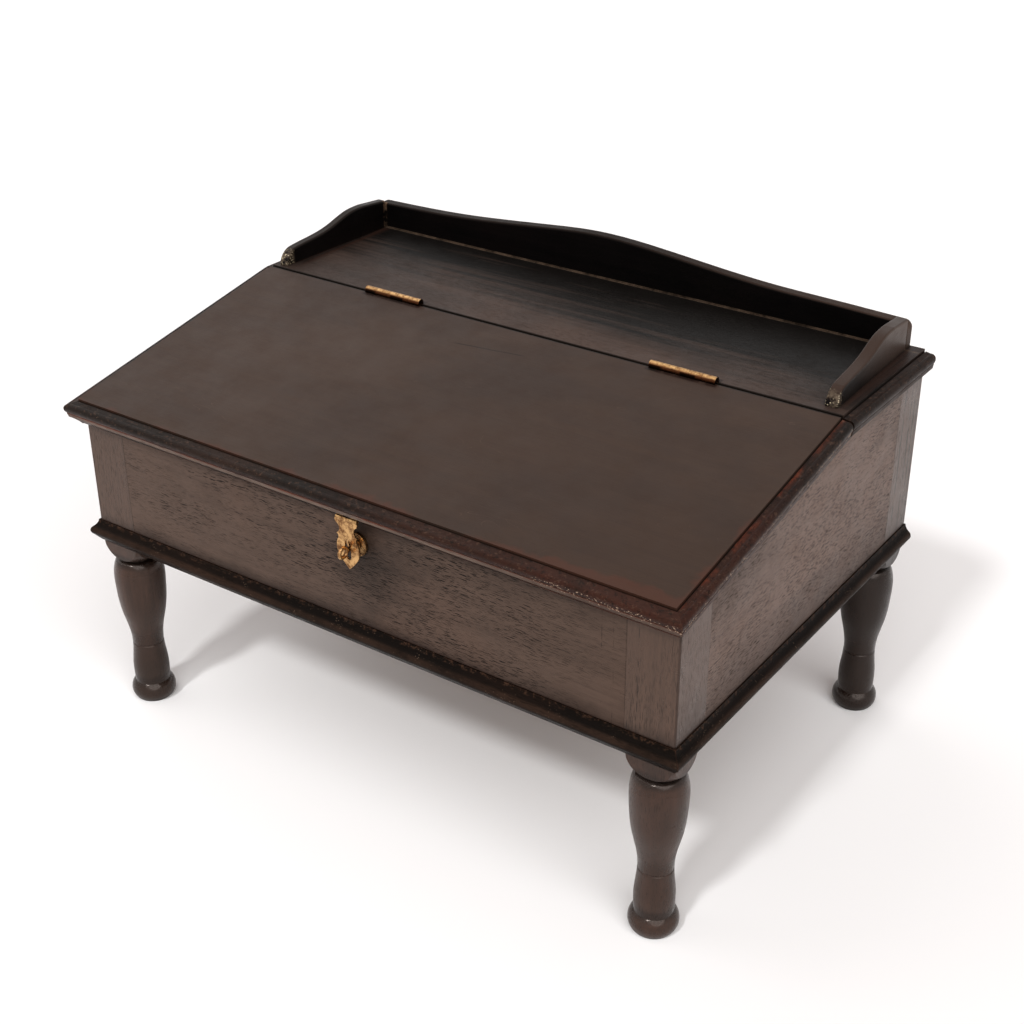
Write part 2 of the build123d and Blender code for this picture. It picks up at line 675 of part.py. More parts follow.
def staple_hole():
    """The clear hole for the shank through whatever it passes."""
    return across_board(front_y - board, front_y + 2 * board, shank_radius + shank_gap)


def staple_rose():
    """The round rose on the front board, a disc with a raised rim."""
    disc = across_board(front_y - rose_rim, front_y, rose_radius)
    disc -= across_board(front_y - rose_rim, front_y - rose_thick, rose_radius - rose_rim_width)
    return disc - staple_hole()


def staple_washer():
    """The washer under the riveted end, inside the case."""
    y_inner = front_y + board
    return across_board(y_inner, y_inner + washer_thick, washer_radius) - staple_hole()


# ---- write one file for each piece ----------------------------------------------------------------
def pieces():
    """Every piece by its node name."""
    made = {}
    for end_name, end in (("front", -1), ("rear", 1)):
        for side_name, side in SIDES.items():
            made[f"leg_{end_name}_{side_name}"] = leg(side, end)
    made["front_board"] = long_board(-1)
    made["rear_board"] = long_board(1)
    made["bottom_board"] = bottom_board()
    made["base_moulding_front"] = base_moulding("front")
    made["shelf_board"] = shelf_board()
    made["gallery_back"] = gallery_back()
    made["lid_panel"] = lid_panel()
    made["lid_moulding_front"] = lid_moulding("front")
    y_front = hinge_y + hinge_gap / 2
    y_joint = y_front + patch_length
    for name, side in SIDES.items():
        made[f"side_board_{name}"] = side_board(side)
        made[f"base_moulding_{name}"] = base_moulding(name)
        made[f"shelf_moulding_{name}"] = shelf_moulding(side, y_joint, rear_y)
        made[f"shelf_moulding_patch_{name}"] = shelf_moulding(side, y_front, y_joint)
        made[f"gallery_bracket_{name}"] = gallery_bracket(name)
        made[f"lid_moulding_{name}"] = lid_moulding(name)
    for name, x in hinge_places.items():
        made[f"hinge_{name}_shelf_leaf"] = hinge_leaf(x, 1)
        made[f"hinge_{name}_lid_leaf"] = hinge_leaf(x, -1)
        made[f"hinge_{name}_pin"] = hinge_pin(x)
    made["hinge_screws_shelf"] = hinge_screws(1)
    made["hinge_screws_lid"] = hinge_screws(-1)
    made["hasp_leaf"] = hasp_leaf()
    made["hasp_plate"] = hasp_plate()
    half = hasp_half - hasp_barrel_inset
    made["hasp_pin"] = rod(hasp_x - half, hasp_x + half, hasp_y, hasp_axis_z, hasp_pin)
    made["hasp_screws"] = Compound([hasp_screw(x, y).solid() for x, y in hasp_screw_places()])
    made["staple_loop"] = staple_loop()
    made["staple_rose"] = staple_rose()
    made["staple_washer"] = staple_washer()
    return made


os.makedirs("parts", exist_ok=True)
for node, shape in pieces().items():
    export_step(shape, f"parts/{node}.step")
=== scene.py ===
from math import cos, radians, sin

import bpy
from mathutils import Matrix, Vector


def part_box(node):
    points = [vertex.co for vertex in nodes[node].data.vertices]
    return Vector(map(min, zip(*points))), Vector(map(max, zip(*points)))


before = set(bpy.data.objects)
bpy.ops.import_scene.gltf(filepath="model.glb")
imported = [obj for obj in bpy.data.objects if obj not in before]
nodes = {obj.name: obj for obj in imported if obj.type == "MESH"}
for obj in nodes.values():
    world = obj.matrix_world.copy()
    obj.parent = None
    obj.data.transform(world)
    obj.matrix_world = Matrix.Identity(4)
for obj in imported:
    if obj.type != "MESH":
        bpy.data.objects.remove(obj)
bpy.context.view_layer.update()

# ---- the photograph's camera, in metres and degrees ----------------------------------------
SENSOR = 36.0
FRAME_PIXELS = 1024
FOCAL_PIXELS = 1621.8
CENTRE_PIXEL = (513.7, 503.8)
CAMERA_FROM_CASE = Vector((0.6073, -0.6759, 0.7287))    # from the middle of the case's front, on the floor
CAMERA_YAW = 35.314
CAMERA_DOWN = 28.342
CAMERA_ROLL = -0.218

# ---- light ----------------------------------------------------------------------------------
SKY = (0.27, 0.225, 0.212, 1.0)
WHITE = (1.0, 1.0, 1.0, 1.0)
# name, irradiance, and in degrees the height above the floor, turn from straight in front and width
SUNS = (("key", 1.3, 49, 0, 7), ("fill", 2.2, 42, 50, 60), ("low_fill", 0.65, 45, -90, 60))
FLOOR_HALF = 6.0
FLOOR_PAPER = (0.95, 0.95, 0.95, 1.0)

# ---- where the pieces are, in metres --------------------------------------------------------
front_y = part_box("front_board")[0].y
lid_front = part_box("lid_panel")[0].y
lid_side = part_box("lid_panel")[1].x
side_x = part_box("side_board_right")[1].x
rear_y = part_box("rear_board")[1].y
hinge_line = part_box("shelf_board")[0].y
shelf_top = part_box("shelf_board")[1].z
gallery_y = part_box("gallery_back")[0].y
gallery_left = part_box("gallery_bracket_left")[1].x
gallery_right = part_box("gallery_bracket_right")[0].x
case_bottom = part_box("side_board_right")[0].z
base_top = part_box("base_moulding_front")[1].z
hinge_centres = [sum(corner.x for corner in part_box(f"hinge_{side}_lid_leaf")) / 2
                 for side in ("left", "right")]
hasp_low, hasp_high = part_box("hasp_plate")

# ---- where the details are, in metres -------------------------------------------------------
UP = (0.0, 0.0, 1.0)
LID_SLOPE = radians(10.6)
ACROSS_LID = (0.0, -sin(LID_SLOPE), cos(LID_SLOPE))
LID_TOP = (0.0, hinge_line, shelf_top)
POST = 0.035
CRACK_SOFT = 0.00025
CRACK_WANDER = 0.0022
HAIRLINE = 0.00012                              # half the width of the finest cracks
POST_SPLITS = (0.009, 0.017)                    # cracks in the front board, from the right post's joint
REAR_CRACKS = (0.004, 0.0095, 0.0155, 0.027)    # cracks in the rear posts, from the back
RIGHT_CRACK = 0.027                             # crack in the right posts, from the side
STAIN_AND_SHADOW_FROM_HASP = (0.010, -0.014)               # the dark stain and painted shadow beside the hasp, in x and z
STAIN_AND_SHADOW_REACH = (0.062, 0.022)
GRIME_AND_SHADE_UNEVEN = 0.016                            # how far the grime and painted shade along the foot wander in height
GRIME_FADE = (0.002, -0.008)                    # from none to full, up from the base moulding's top
SIDE_SHADE_FADE = (0.026, -0.004)               # the same for the fainter painted shade on the sides
SMOOTH_RIGHT = (0.19, 0.12)                     # from few pores to all of them, in x
SMOOTH_LOW = (0.150, 0.180)                     # and in height
SMOOTH_LEAN = -0.12
NECK, WAIST, ANKLE = 0.1245, 0.054, 0.0175      # heights of the dark rings on the legs
WAXED = ((0.121, 0.004, 0.004), (0.054, 0.003, 0.004), (0.013, 0.004, 0.003))   # height, half width, fade
LEG_FADE = (0.075, 0.03)                        # the legs darken downwards between these heights
ARRIS_HALF, ARRIS_SOFT = 0.0009, 0.0005         # the dark front corners of the posts
BARREL_HALF = 0.0262                            # half the length of a hinge barrel
BARREL_GAPS = ((-0.0205, 0.0042), (0.0045, 0.0055))     # from a hinge's middle, and half the width
LID_HINGE_MARKS, SHELF_HINGE_MARKS = 0.0046, 0.0032     # reddish marks and painted shadow beside the barrels, from the hinge line
LID_SHADE, SHELF_SHADE = (0.0036, 0.0030), (0.0010, 0.0004)     # dark inside the gap along the hinge line
LID_WORN = (0.012, 0.008)                       # the lid's red edge, from the case's front and sides
LID_CORNER = (0.12, 0.03)                       # it is wider in the front right corner
LID_CRACK_X, LID_CRACK_Y = -0.012, 0.0129       # the middle of the short crack in the lid
LID_CRACK_HALF, LID_CRACK_LEAN = 0.024, 0.114   # half its length, and its slope in plan
SHELF_FADE = (0.032, 0.078)                     # the shelf darkens towards the gallery
SHELF_END_FADE = (0.004, 0.022)                 # and its ends beside the brackets
TOE_BACK = (0.0135, 0.009)                      # the worn toes of the brackets, with a painted highlight and glints, from the hinge line
TOE_HIGH = (0.0135, 0.0095)                     # and from the shelf
TOE_WAXED_BACK, TOE_WAXED_HIGH = (0.016, 0.011), (0.015, 0.010)
GALLERY_LIT = (0.05, 0.17)                      # painted light: the brackets' outsides grow paler towards the back
LIP_BELOW, LIP_HALF = -0.0120, 0.0024           # the mouldings' lip, painted paler as lit, from the lid's top
RED_BELOW, RED_HALF = -0.0094, 0.0007           # the broken red line over it
NOSE_BELOW, NOSE_HALF = -0.0082, 0.0014         # the dark red nose over that, with painted shade under its roll
DUST_GLINTS_BELOW, DUST_GLINTS_HALF = -0.0080, 0.0024     # pale dust specks and painted glints in the wax
PITS_FROM = (-0.0095, -0.0085)                  # pits and pale marks lie above this
LIP_RIGHT, RED_RIGHT = (0.08, 0.17), (0.08, 0.16)       # lip and red line fade to the right, in x
WORN_WIDTH = (0.0044, 0.0016)                   # worn red wax on the side mouldings, out from the lid panel
DUST_GLINTS_RIGHT = (0.12, 0.17)                     # the pale dust specks and painted glints begin here, in x
BASE_NOSE, BASE_CREASE = 0.0092, 0.0135         # up from the foot of the case
CREVICE_SHADE = (0.0016, 0.0006)                      # painted shade between the base moulding and the boards

# ---- colours --------------------------------------------------------------------------------
GLOSS_TINT = (1.0, 0.86, 0.79, 1.0)


def srgb(r, g, b):
    """A colour given as 0 to 255 in sRGB, as linear RGBA."""
    def linear(c):
        c /= 255.0
        return c / 12.92 if c <= 0.04045 else ((c + 0.055) / 1.055) ** 2.4
    return (linear(r), linear(g), linear(b), 1.0)


BLACK = srgb(8, 5, 3)
DUST = srgb(118, 98, 82)
RED = srgb(92, 48, 32)
BROWN = srgb(58, 38, 29)
WARM = srgb(86, 65, 54)
FRONT = srgb(79, 63, 54)
FRONT_DARK = srgb(48, 37, 31)
FRONT_PALE = srgb(96, 78, 68)
# a real stain and the hasp plate's painted shadow
HASP_STAIN_AND_SHADOW = srgb(30, 22, 18)
# grime along the foot, and painted shade low on the sides
FOOT_GRIME_AND_SHADE = srgb(30, 20, 16)
# The sides are painted paler than the front: painted light on the same wood.
SIDE_LIT = srgb(105, 86, 77)
SIDE_LIT_DARK = srgb(70, 57, 50)
SIDE_LIT_WARM = srgb(116, 95, 84)
POST_FRONT = srgb(76, 58, 48)
# The posts' side faces are painted paler in the same way: painted light.
POST_SIDE_LIT = srgb(84, 66, 57)
POST_ARRIS = srgb(40, 28, 23)
LEG = srgb(62, 43, 35)
LEG_DARK = srgb(33, 24, 19)
LEG_WARM = srgb(72, 52, 43)
LEG_REAR = srgb(12, 9, 8)
LEG_RING = srgb(26, 17, 13)
LID = srgb(54, 40, 32)
LID_DARK = srgb(43, 32, 27)
LID_WARM = srgb(64, 50, 42)
LID_EDGE = srgb(74, 42, 31)
SCRATCH = srgb(104, 84, 72)
SHELF = srgb(62, 49, 43)
SHELF_STREAK = srgb(42, 34, 30)
SHELF_DARK = srgb(11, 9, 8)
SHELF_OUTER = srgb(40, 24, 18)
TRIM = srgb(27, 19, 15)
TRIM_DARK = srgb(11, 8, 7)
TRIM_MARK = srgb(84, 62, 50)
SHELF_TRIM = srgb(36, 23, 17)
# painted light on the mouldings' lip
LIP_LIT = srgb(102, 85, 75)
CORNER_RED = srgb(66, 31, 21)
# dark red with painted shade under the mouldings' nose
NOSE_RED_SHADE = srgb(38, 14, 8)
WORN_RED = srgb(108, 50, 30)
# pale dust specks and painted glints
DUST_AND_GLINT = srgb(176, 150, 128)
BASE = srgb(19, 14, 11)
# wear and a painted highlight on the base moulding's nose
BASE_NOSE_WEAR_AND_HIGHLIGHT = srgb(48, 35, 28)
BASE_DUST = srgb(84, 60, 46)
GALLERY = srgb(8, 6, 6)
GALLERY_DARK = srgb(3, 3, 3)
# painted light on the gallery's outsides and tops
GALLERY_OUTSIDE_LIT = srgb(80, 65, 57)
GALLERY_TOP_LIT = srgb(31, 23, 19)
GALLERY_TOP_RIGHT_LIT = srgb(60, 46, 39)
BACK_WARM = srgb(16, 10, 9)
BACK_RIM = srgb(56, 34, 26)
BRACKET_WARM = srgb(20, 12, 10)
BRACKET_RIM = srgb(44, 20, 14)
# worn toes with a painted highlight, and painted glints
TOE_WEAR_AND_HIGHLIGHT = srgb(112, 98, 82)
TOE_GLINT = srgb(208, 192, 160)
GLUE = srgb(120, 96, 76)
RAW = srgb(98, 76, 56)
RAW_DARK = srgb(66, 50, 37)
HINGE_BRIGHT = srgb(188, 148, 100)
HINGE_DULL = srgb(118, 82, 50)
# tarnish and painted shade on the hinge barrels' undersides
HINGE_UNDER_TARNISH_AND_SHADE = srgb(74, 42, 24)
# painted shade in the hinge barrels' gaps and open ends
HINGE_GAP_SHADE = srgb(14, 8, 5)
# reddish marks and painted shadow on the wood beside the barrels
HINGE_MARK_AND_SHADOW = srgb(24, 10, 6)
HASP_BRIGHT = srgb(204, 162, 110)
HASP_DULL = srgb(112, 76, 46)
SCREW_BRIGHT = srgb(170, 130, 86)
SCREW_DULL = srgb(96, 68, 44)
BRASS_SPOT = srgb(80, 46, 26)
# tarnish and painted shade in the brass's hollows
BRASS_HOLLOW_TARNISH_AND_SHADE = srgb(34, 22, 14)


# ---- node trees -----------------------------------------------------------------------------
class Nodes:
    """Short names for building a material's node tree."""

    def __init__(self, name):
        self.material = bpy.data.materials.new(name)
        self.material.use_nodes = True
        self.tree = self.material.node_tree
        self.tree.nodes.clear()
        self.shader = self.add("ShaderNodeBsdfPrincipled")
        output = self.add("ShaderNodeOutputMaterial")
        self.link(self.shader.outputs[0], output.inputs[0])
        self.coordinates = self.add("ShaderNodeTexCoord")

    def add(self, kind, **settings):
        node = self.tree.nodes.new(kind)
        for key, value in settings.items():
            setattr(node, key, value)
        return node

    def link(self, source, target):
        self.tree.links.new(source, target)

    def feed(self, target, value):
        if isinstance(value, bpy.types.NodeSocket):
            self.link(value, target)
        else:
            target.default_value = value

    def place(self, scale=(1.0, 1.0, 1.0), shift=0.0):
        """The piece's own coordinates in metres, stretched, and shifted from piece to piece."""
        mapping = self.add("ShaderNodeMapping")
        mapping.inputs["Scale"].default_value = scale
        mapping.inputs["Location"].default_value = (shift, 0.31 * shift, 0.57 * shift)
        self.link(self.coordinates.outputs["Object"], mapping.inputs["Vector"])
        return mapping.outputs[0]

    def part(self, axis, output="Object"):
        """One of the piece's own coordinates in metres, or of its own surface normal."""
        split = self.add("ShaderNodeSeparateXYZ")
        self.link(self.coordinates.outputs[output], split.inputs[0])
        return split.outputs["xyz".index(axis)]

    def along(self, direction, origin):
        """Distance in metres from a point, measured along a direction."""
        shifted = self.add("ShaderNodeVectorMath", operation="SUBTRACT")
        self.link(self.coordinates.outputs["Object"], shifted.inputs[0])
        shifted.inputs[1].default_value = origin
        dot = self.add("ShaderNodeVectorMath", operation="DOT_PRODUCT")
        self.link(shifted.outputs[0], dot.inputs[0])
        dot.inputs[1].default_value = direction
        return dot.outputs["Value"]

    def noise(self, where, scale, detail=4.0, rough=0.55, distortion=0.0):
        node = self.add("ShaderNodeTexNoise")
        node.inputs["Scale"].default_value = scale
        node.inputs["Detail"].default_value = detail
        node.inputs["Roughness"].default_value = rough
        node.inputs["Distortion"].default_value = distortion
        self.link(where, node.inputs["Vector"])
        return node.outputs["Fac"]

    def cells(self, where, scale):
        """Distance from the nearest of scattered points."""
        node = self.add("ShaderNodeTexVoronoi")
        node.inputs["Scale"].default_value = scale
        self.link(where, node.inputs["Vector"])
        return node.outputs["Distance"]

    def ramp(self, value, low, high, out_low=0.0, out_high=1.0):
        node = self.add("ShaderNodeMapRange")
        node.inputs["From Min"].default_value = low
        node.inputs["From Max"].default_value = high
        node.inputs["To Min"].default_value = out_low
        node.inputs["To Max"].default_value = out_high
        self.feed(node.inputs["Value"], value)
        return node.outputs[0]

    def math(self, operation, a, b=0.5):
        node = self.add("ShaderNodeMath", operation=operation)
        self.feed(node.inputs[0], a)
        self.feed(node.inputs[1], b)
        return node.outputs[0]

    def plus(self, a, b):
        return self.math("ADD", a, b)

    def minus(self, a, b):
        return self.math("SUBTRACT", a, b)

    def absolute(self, value):
        return self.math("ABSOLUTE", value)

    def times(self, *values):
        total = values[0]
        for value in values[1:]:
            total = self.math("MULTIPLY", total, value)
        return total

    def most(self, *values):
        total = values[0]
        for value in values[1:]:
            total = self.math("MAXIMUM", total, value)
        return total

    def mix(self, amount, a, b):
        node = self.add("ShaderNodeMix", data_type="RGBA")
        self.feed(node.inputs[0], amount)
        self.feed(node.inputs[6], a)
        self.feed(node.inputs[7], b)
        return node.outputs[2]

    def patches(self, scale, low, high, detail=4.0, rough=0.7, shift=0.0, least=0.0, most=1.0):
        """Irregular patches, from least where the noise is low to most where it is high."""
        return self.ramp(self.noise(self.place(shift=shift), scale, detail, rough), low, high, least, most)

    def stripe(self, value, place, half, soft):
        """1 within half of a place, fading out over soft."""
        return self.ramp(self.absolute(self.minus(value, place)), half + soft, half)

    def cracks(self, value, places, half, gaps):
        """Thin broken lines across the places, wandering a little."""
        wander = self.times(self.minus(self.noise(self.place(), 28.0, 2.0), 0.5), CRACK_WANDER)
        value = self.plus(value, wander)
        lines = self.most(*[self.stripe(value, place, half, CRACK_SOFT) for place in places])
        return self.times(lines, self.patches(70.0, gaps, gaps + 0.1, shift=5.3))

    def specks(self, scale, size, patch, share):
        """Scattered small dots, in patches."""
        dots = self.ramp(self.cells(self.place(shift=3.3), scale), size, 0.6 * size)
        return self.times(dots, self.patches(patch, share, share + 0.08))

    def edges(self, radius, low=0.02, high=0.25):
        """1 on convex edges and 0 on flats, from the surface itself."""
        bevel = self.add("ShaderNodeBevel", samples=6)
        bevel.inputs["Radius"].default_value = radius
        geometry = self.add("ShaderNodeNewGeometry")
        dot = self.add("ShaderNodeVectorMath", operation="DOT_PRODUCT")
        self.link(bevel.outputs[0], dot.inputs[0])
        self.link(geometry.outputs["Normal"], dot.inputs[1])
        return self.ramp(self.minus(1.0, dot.outputs["Value"]), low, high)

    def hollows(self, distance):
        """1 in grooves and inner corners and 0 on open faces."""
        node = self.add("ShaderNodeAmbientOcclusion", samples=8, only_local=False)
        node.inputs["Distance"].default_value = distance
        return self.ramp(node.outputs["AO"], 0.9, 0.35)

    def bump(self, heights):
        """Chained bumps: (height socket, strength, distance in metres)."""
        normal = None
        for height, strength, distance in heights:
            node = self.add("ShaderNodeBump")
            node.inputs["Strength"].default_value = strength
            node.inputs["Distance"].default_value = distance
            self.link(height, node.inputs["Height"])
            if normal is not None:
                self.link(normal, node.inputs["Normal"])
            normal = node.outputs[0]
        self.link(normal, self.shader.inputs["Normal"])


# ---- wood and brass -------------------------------------------------------------------------
def along_grain(axis, across):
    """A stretch that leaves the grain's own axis as it is."""
    return tuple(1.0 if name == axis else across for name in "xyz")


def pore_mask(n, grain, shift, scale, amount, smooth):
    """Open pores drawn out along the grain, in patches."""
    short = n.place(along_grain(grain, 10.0), shift)
    fine = n.place(along_grain(grain, 12.0), shift + 0.7)
    patch = n.ramp(n.noise(n.place(along_grain(grain, 2.5), shift), 11.0, 5.0, 0.7), 0.40, 0.54, 0.25, 1.0)
    if smooth:
        patch = n.times(patch, smooth(n))
    coarse = n.ramp(n.cells(short, scale), 0.34, 0.30)
    thin = n.ramp(n.noise(short, 110.0, 2.0, 0.5), 0.42, 0.46)
    small = n.ramp(n.cells(fine, 1.5 * scale), 0.36, 0.31)
    return n.times(n.most(n.times(coarse, thin), n.times(small, 0.7)), patch, amount)


def lint_mask(n, grain, shift):
    """Fine dust and lint caught in the wax, in patches."""
    lint = n.ramp(n.noise(n.place(along_grain(grain, 3.0), shift), 420.0, 3.0, 0.6), 0.62, 0.70)
    lint = n.times(lint, n.patches(24.0, 0.50, 0.60, shift=shift))
    return n.most(n.times(lint, 0.6), n.specks(520.0, 0.22, 40.0, 0.56))


def wood(name, base, dark, warm, grain, shift=0.0, pores=0.6, gloss=0.42, wear=0.5, streaks=0.5, shine=0.2,
         dirt_and_shade_amount=0.85, dust=0.0, details=None, smooth=None, pore_scale=110.0, uneven=1.0, rim=None, polish=None):
    """Dark stained and waxed open-pored hardwood with its grain along x, y or z."""
    n = Nodes(name)
    plain = n.place(shift=shift)
    long = n.place(along_grain(grain, 34.0), shift)
    band = n.noise(long, 5.0, 4.0, 0.6, 0.3)
    fibre = n.noise(long, 22.0, 3.0, 0.6)
    cloud = n.noise(plain, 7.0, 3.0, 0.5)
    grime = n.noise(plain, 46.0, 5.0, 0.65)
    smudge = n.noise(n.place(along_grain(grain, 1.8), shift + 0.4), 8.0, 5.0, 0.65)
    colour = n.mix(n.times(n.ramp(band, 0.40, 0.66), streaks), base, dark)
    colour = n.mix(n.times(n.ramp(fibre, 0.46, 0.70), 0.5 * streaks), colour, dark)
    colour = n.mix(n.times(n.ramp(cloud, 0.48, 0.68), 0.4), colour, warm)
    colour = n.mix(n.times(n.ramp(smudge, 0.48, 0.66), 0.6), colour, dark)
    if details:
        colour = details(n, colour)
    pore = pore_mask(n, grain, shift, pore_scale, pores, smooth)
    colour = n.mix(pore, colour, BLACK)
    worn = n.times(n.edges(0.0013), n.patches(75.0, 0.44, 0.58, detail=5.0, shift=shift))
    colour = n.mix(n.times(worn, wear), colour, rim or warm)
    # dirt and painted shade in grooves and inner corners
    dirt_and_shade = n.times(n.hollows(0.004), n.ramp(grime, 0.30, 0.55, 0.6, 1.0))
    colour = n.mix(n.times(dirt_and_shade, dirt_and_shade_amount), colour, BLACK)
    if dust:
        colour = n.mix(n.times(lint_mask(n, grain, shift), dust), colour, DUST)
    n.link(colour, n.shader.inputs["Base Color"])
    rough = n.ramp(grime, 0.35, 0.68, gloss - 0.06, gloss + 0.08)
    rough = n.plus(rough, n.times(n.most(pore, dirt_and_shade), 0.3))
    if polish:
        rough = n.minus(rough, n.times(polish(n), 0.16))
    n.link(rough, n.shader.inputs["Roughness"])
    n.shader.inputs["Specular IOR Level"].default_value = shine
    n.shader.inputs["Specular Tint"].default_value = GLOSS_TINT
    dents = n.noise(plain, 120.0, 3.0, 0.6)
    n.bump([(cloud, 0.16, 0.0016), (dents, 0.10 * uneven, 0.0005), (fibre, 0.2, 0.0002),
            (n.minus(1.0, pore), 0.4, 0.0004)])
    return n.material


def brass(name, bright, dull, gloss, under=None, details=None):
    """Worn brass with tarnish and painted shade in the hollows and, where given, on faces turned down, small
    scratches and bright edges.
    """
    n = Nodes(name)
    plain = n.place()
    patch = n.noise(plain, 230.0, 5.0, 0.7)
    fine = n.noise(plain, 1400.0, 3.0, 0.6)
    colour = n.mix(n.ramp(patch, 0.42, 0.60), bright, dull)
    colour = n.mix(n.times(n.edges(0.0006, 0.01, 0.15), 0.4), colour, bright)
    colour = n.mix(n.times(n.patches(520.0, 0.58, 0.66), 0.5), colour, BRASS_SPOT)
    if under:
        # tarnish and painted shade on faces turned down
        low = n.ramp(n.plus(n.part("z", "Normal"), n.times(patch, 0.5)), 1.04, 0.70)
        colour = n.mix(low, colour, under)
    if details:
        colour = details(n, colour)
    # tarnish and painted shade in the hollows
    colour = n.mix(n.times(n.hollows(0.003), 0.9), colour, BRASS_HOLLOW_TARNISH_AND_SHADE)
    n.link(colour, n.shader.inputs["Base Color"])
    n.shader.inputs["Metallic"].default_value = 1.0
    n.link(n.ramp(patch, 0.3, 0.75, gloss - 0.08, gloss + 0.2), n.shader.inputs["Roughness"])
    n.bump([(patch, 0.3, 0.00025), (fine, 0.2, 0.00006)])
    return n.material


# ---- case and legs --------------------------------------------------------------------------
def foot_grime_and_shade(n, colour):
    """Grime that fades upwards from the base moulding, and a higher, fainter painted shade on the sides."""
    z = n.minus(n.part("z"), n.times(n.noise(n.place(), 22.0, 5.0, 0.7), GRIME_AND_SHADE_UNEVEN))
    low = n.ramp(z, base_top + GRIME_FADE[0], base_top + GRIME_FADE[1], 0.0, 0.75)
    # painted shade low on the sides
    side_shade = n.ramp(z, base_top + SIDE_SHADE_FADE[0], base_top + SIDE_SHADE_FADE[1], 0.0, 0.5)
    side_shade = n.times(side_shade, n.absolute(n.part("x", "Normal")))
    return n.mix(n.most(low, side_shade), colour, FOOT_GRIME_AND_SHADE)


def front_details(n, colour):
    """Tight joints beside the posts, cracks near the right one, a stain and painted shadow by the hasp, and
    grime.
    """
    x = n.part("x")
    joint = n.cracks(n.absolute(x), [side_x - POST - 0.0002], 0.00035, 0.28)
    joint = n.times(joint, n.ramp(x, -0.1, 0.1, 1.0, 0.45))
    split = n.cracks(x, [side_x - POST - off for off in POST_SPLITS], HAIRLINE, 0.50)
    colour = n.mix(n.times(n.most(joint, n.times(split, 0.6)), 0.9), colour, BLACK)
    # a stain and painted shadow beside the hasp
    across = n.absolute(n.minus(x, (hasp_low.x + hasp_high.x) / 2 + STAIN_AND_SHADOW_FROM_HASP[0]))
    up = n.absolute(n.minus(n.part("z"), (hasp_low.z + hasp_high.z) / 2 + STAIN_AND_SHADOW_FROM_HASP[1]))
    around = n.plus(across, n.times(up, 0.8))
    around = n.plus(around, n.times(n.noise(n.place(), 60.0, 4.0, 0.7), 0.03))
    stain_and_shadow = n.times(n.ramp(around, *STAIN_AND_SHADOW_REACH, 0.0, 0.75), n.ramp(n.part("y"), 0.0, -0.01))
    colour = n.mix(n.ramp(x, -0.06, -0.20, 0.0, 0.3), colour, FRONT_PALE)
    colour = n.mix(stain_and_shadow, colour, HASP_STAIN_AND_SHADOW)
    return foot_grime_and_shade(n, colour)


def front_smooth(n):
    """Hardly any open pores near the right end and along the lower left."""
    right = n.ramp(n.part("x"), *SMOOTH_RIGHT, 0.35, 1.0)
    low = n.ramp(n.minus(n.part("z"), n.times(n.part("x"), SMOOTH_LEAN)), *SMOOTH_LOW, 0.5, 1.0)
    return n.times(right, low)


def side_details(n, colour):
    """Joints beside the posts, and grime and painted shade along the foot."""
    joints = n.cracks(n.part("y"), [front_y + POST, rear_y - POST], 0.0002, 0.34)
    colour = n.mix(n.times(joints, 0.7), colour, BLACK)
    return foot_grime_and_shade(n, colour)


def post_colour(n, x, y, sideways):
    """The posts' flat faces match the boards beside them, the side faces with the sides' painted light, with
    a few cracks and a dark arris.
    """
    # painted light: the side faces take the sides' paler colours
    side = n.mix(n.ramp(y, 0.10, 0.17, 0.0, 0.45), POST_SIDE_LIT, SIDE_LIT_DARK)
    face = n.mix(sideways, POST_FRONT, side)
    grain = n.ramp(n.noise(n.place((34.0, 34.0, 1.0)), 9.0, 4.0, 0.6), 0.40, 0.66)
    grain = n.times(grain, n.ramp(y, 0.0, 0.1, 0.3, 0.7))
    face = n.mix(grain, face, n.mix(sideways, FRONT_DARK, SIDE_LIT_DARK))
    old = n.cracks(y, [rear_y - off for off in REAR_CRACKS], 0.0007, 0.42)
    fresh = n.cracks(x, [side_x - RIGHT_CRACK], HAIRLINE, 0.45)
    face = n.mix(n.times(n.most(old, fresh), 0.85), face, BLACK)
    arris = n.times(n.stripe(n.absolute(x), side_x, ARRIS_HALF, ARRIS_SOFT),
                    n.stripe(y, front_y, ARRIS_HALF, ARRIS_SOFT))
    face = n.mix(n.times(arris, 0.7), face, POST_ARRIS)
    return foot_grime_and_shade(n, face)


def leg_details(n, colour):
    """Darker rear legs and feet, dark rings, and the posts above."""
    x, y, z = n.part("x"), n.part("y"), n.part("z")
    sideways = n.absolute(n.part("x", "Normal"))
    colour = n.mix(n.times(n.ramp(y, -0.01, 0.01), 0.85), colour, LEG_REAR)
    colour = n.mix(n.times(n.ramp(z, *LEG_FADE), n.ramp(x, -0.1, 0.1, 0.8, 0.3)), colour, LEG_DARK)
    above = n.ramp(z, case_bottom - 0.001, case_bottom + 0.001)
    colour = n.mix(above, colour, post_colour(n, x, y, sideways))
    neck = n.stripe(z, NECK, 0.0035, 0.003)
    waist = n.stripe(z, WAIST, 0.004, 0.006)
    ankle = n.stripe(z, ANKLE, 0.0022, 0.003)
    return n.mix(n.times(n.most(neck, n.times(waist, 0.4), ankle), 0.8), colour, LEG_RING)


def leg_polish(n):
    """Smoother wax round the neck, the waist and the foot ring."""
    z = n.part("z")
    return n.most(*[n.stripe(z, height, half, fade) for height, half, fade in WAXED])


# ---- hinges, lid and shelf ------------------------------------------------------------------
def hinge_slots(n):
    """The two gaps along the front of each hinge barrel, where shade is painted."""
    x = n.part("x")
    return n.most(*[n.stripe(x, centre + off, half, 0.0008)
                    for centre in hinge_centres for off, half in BARREL_GAPS])


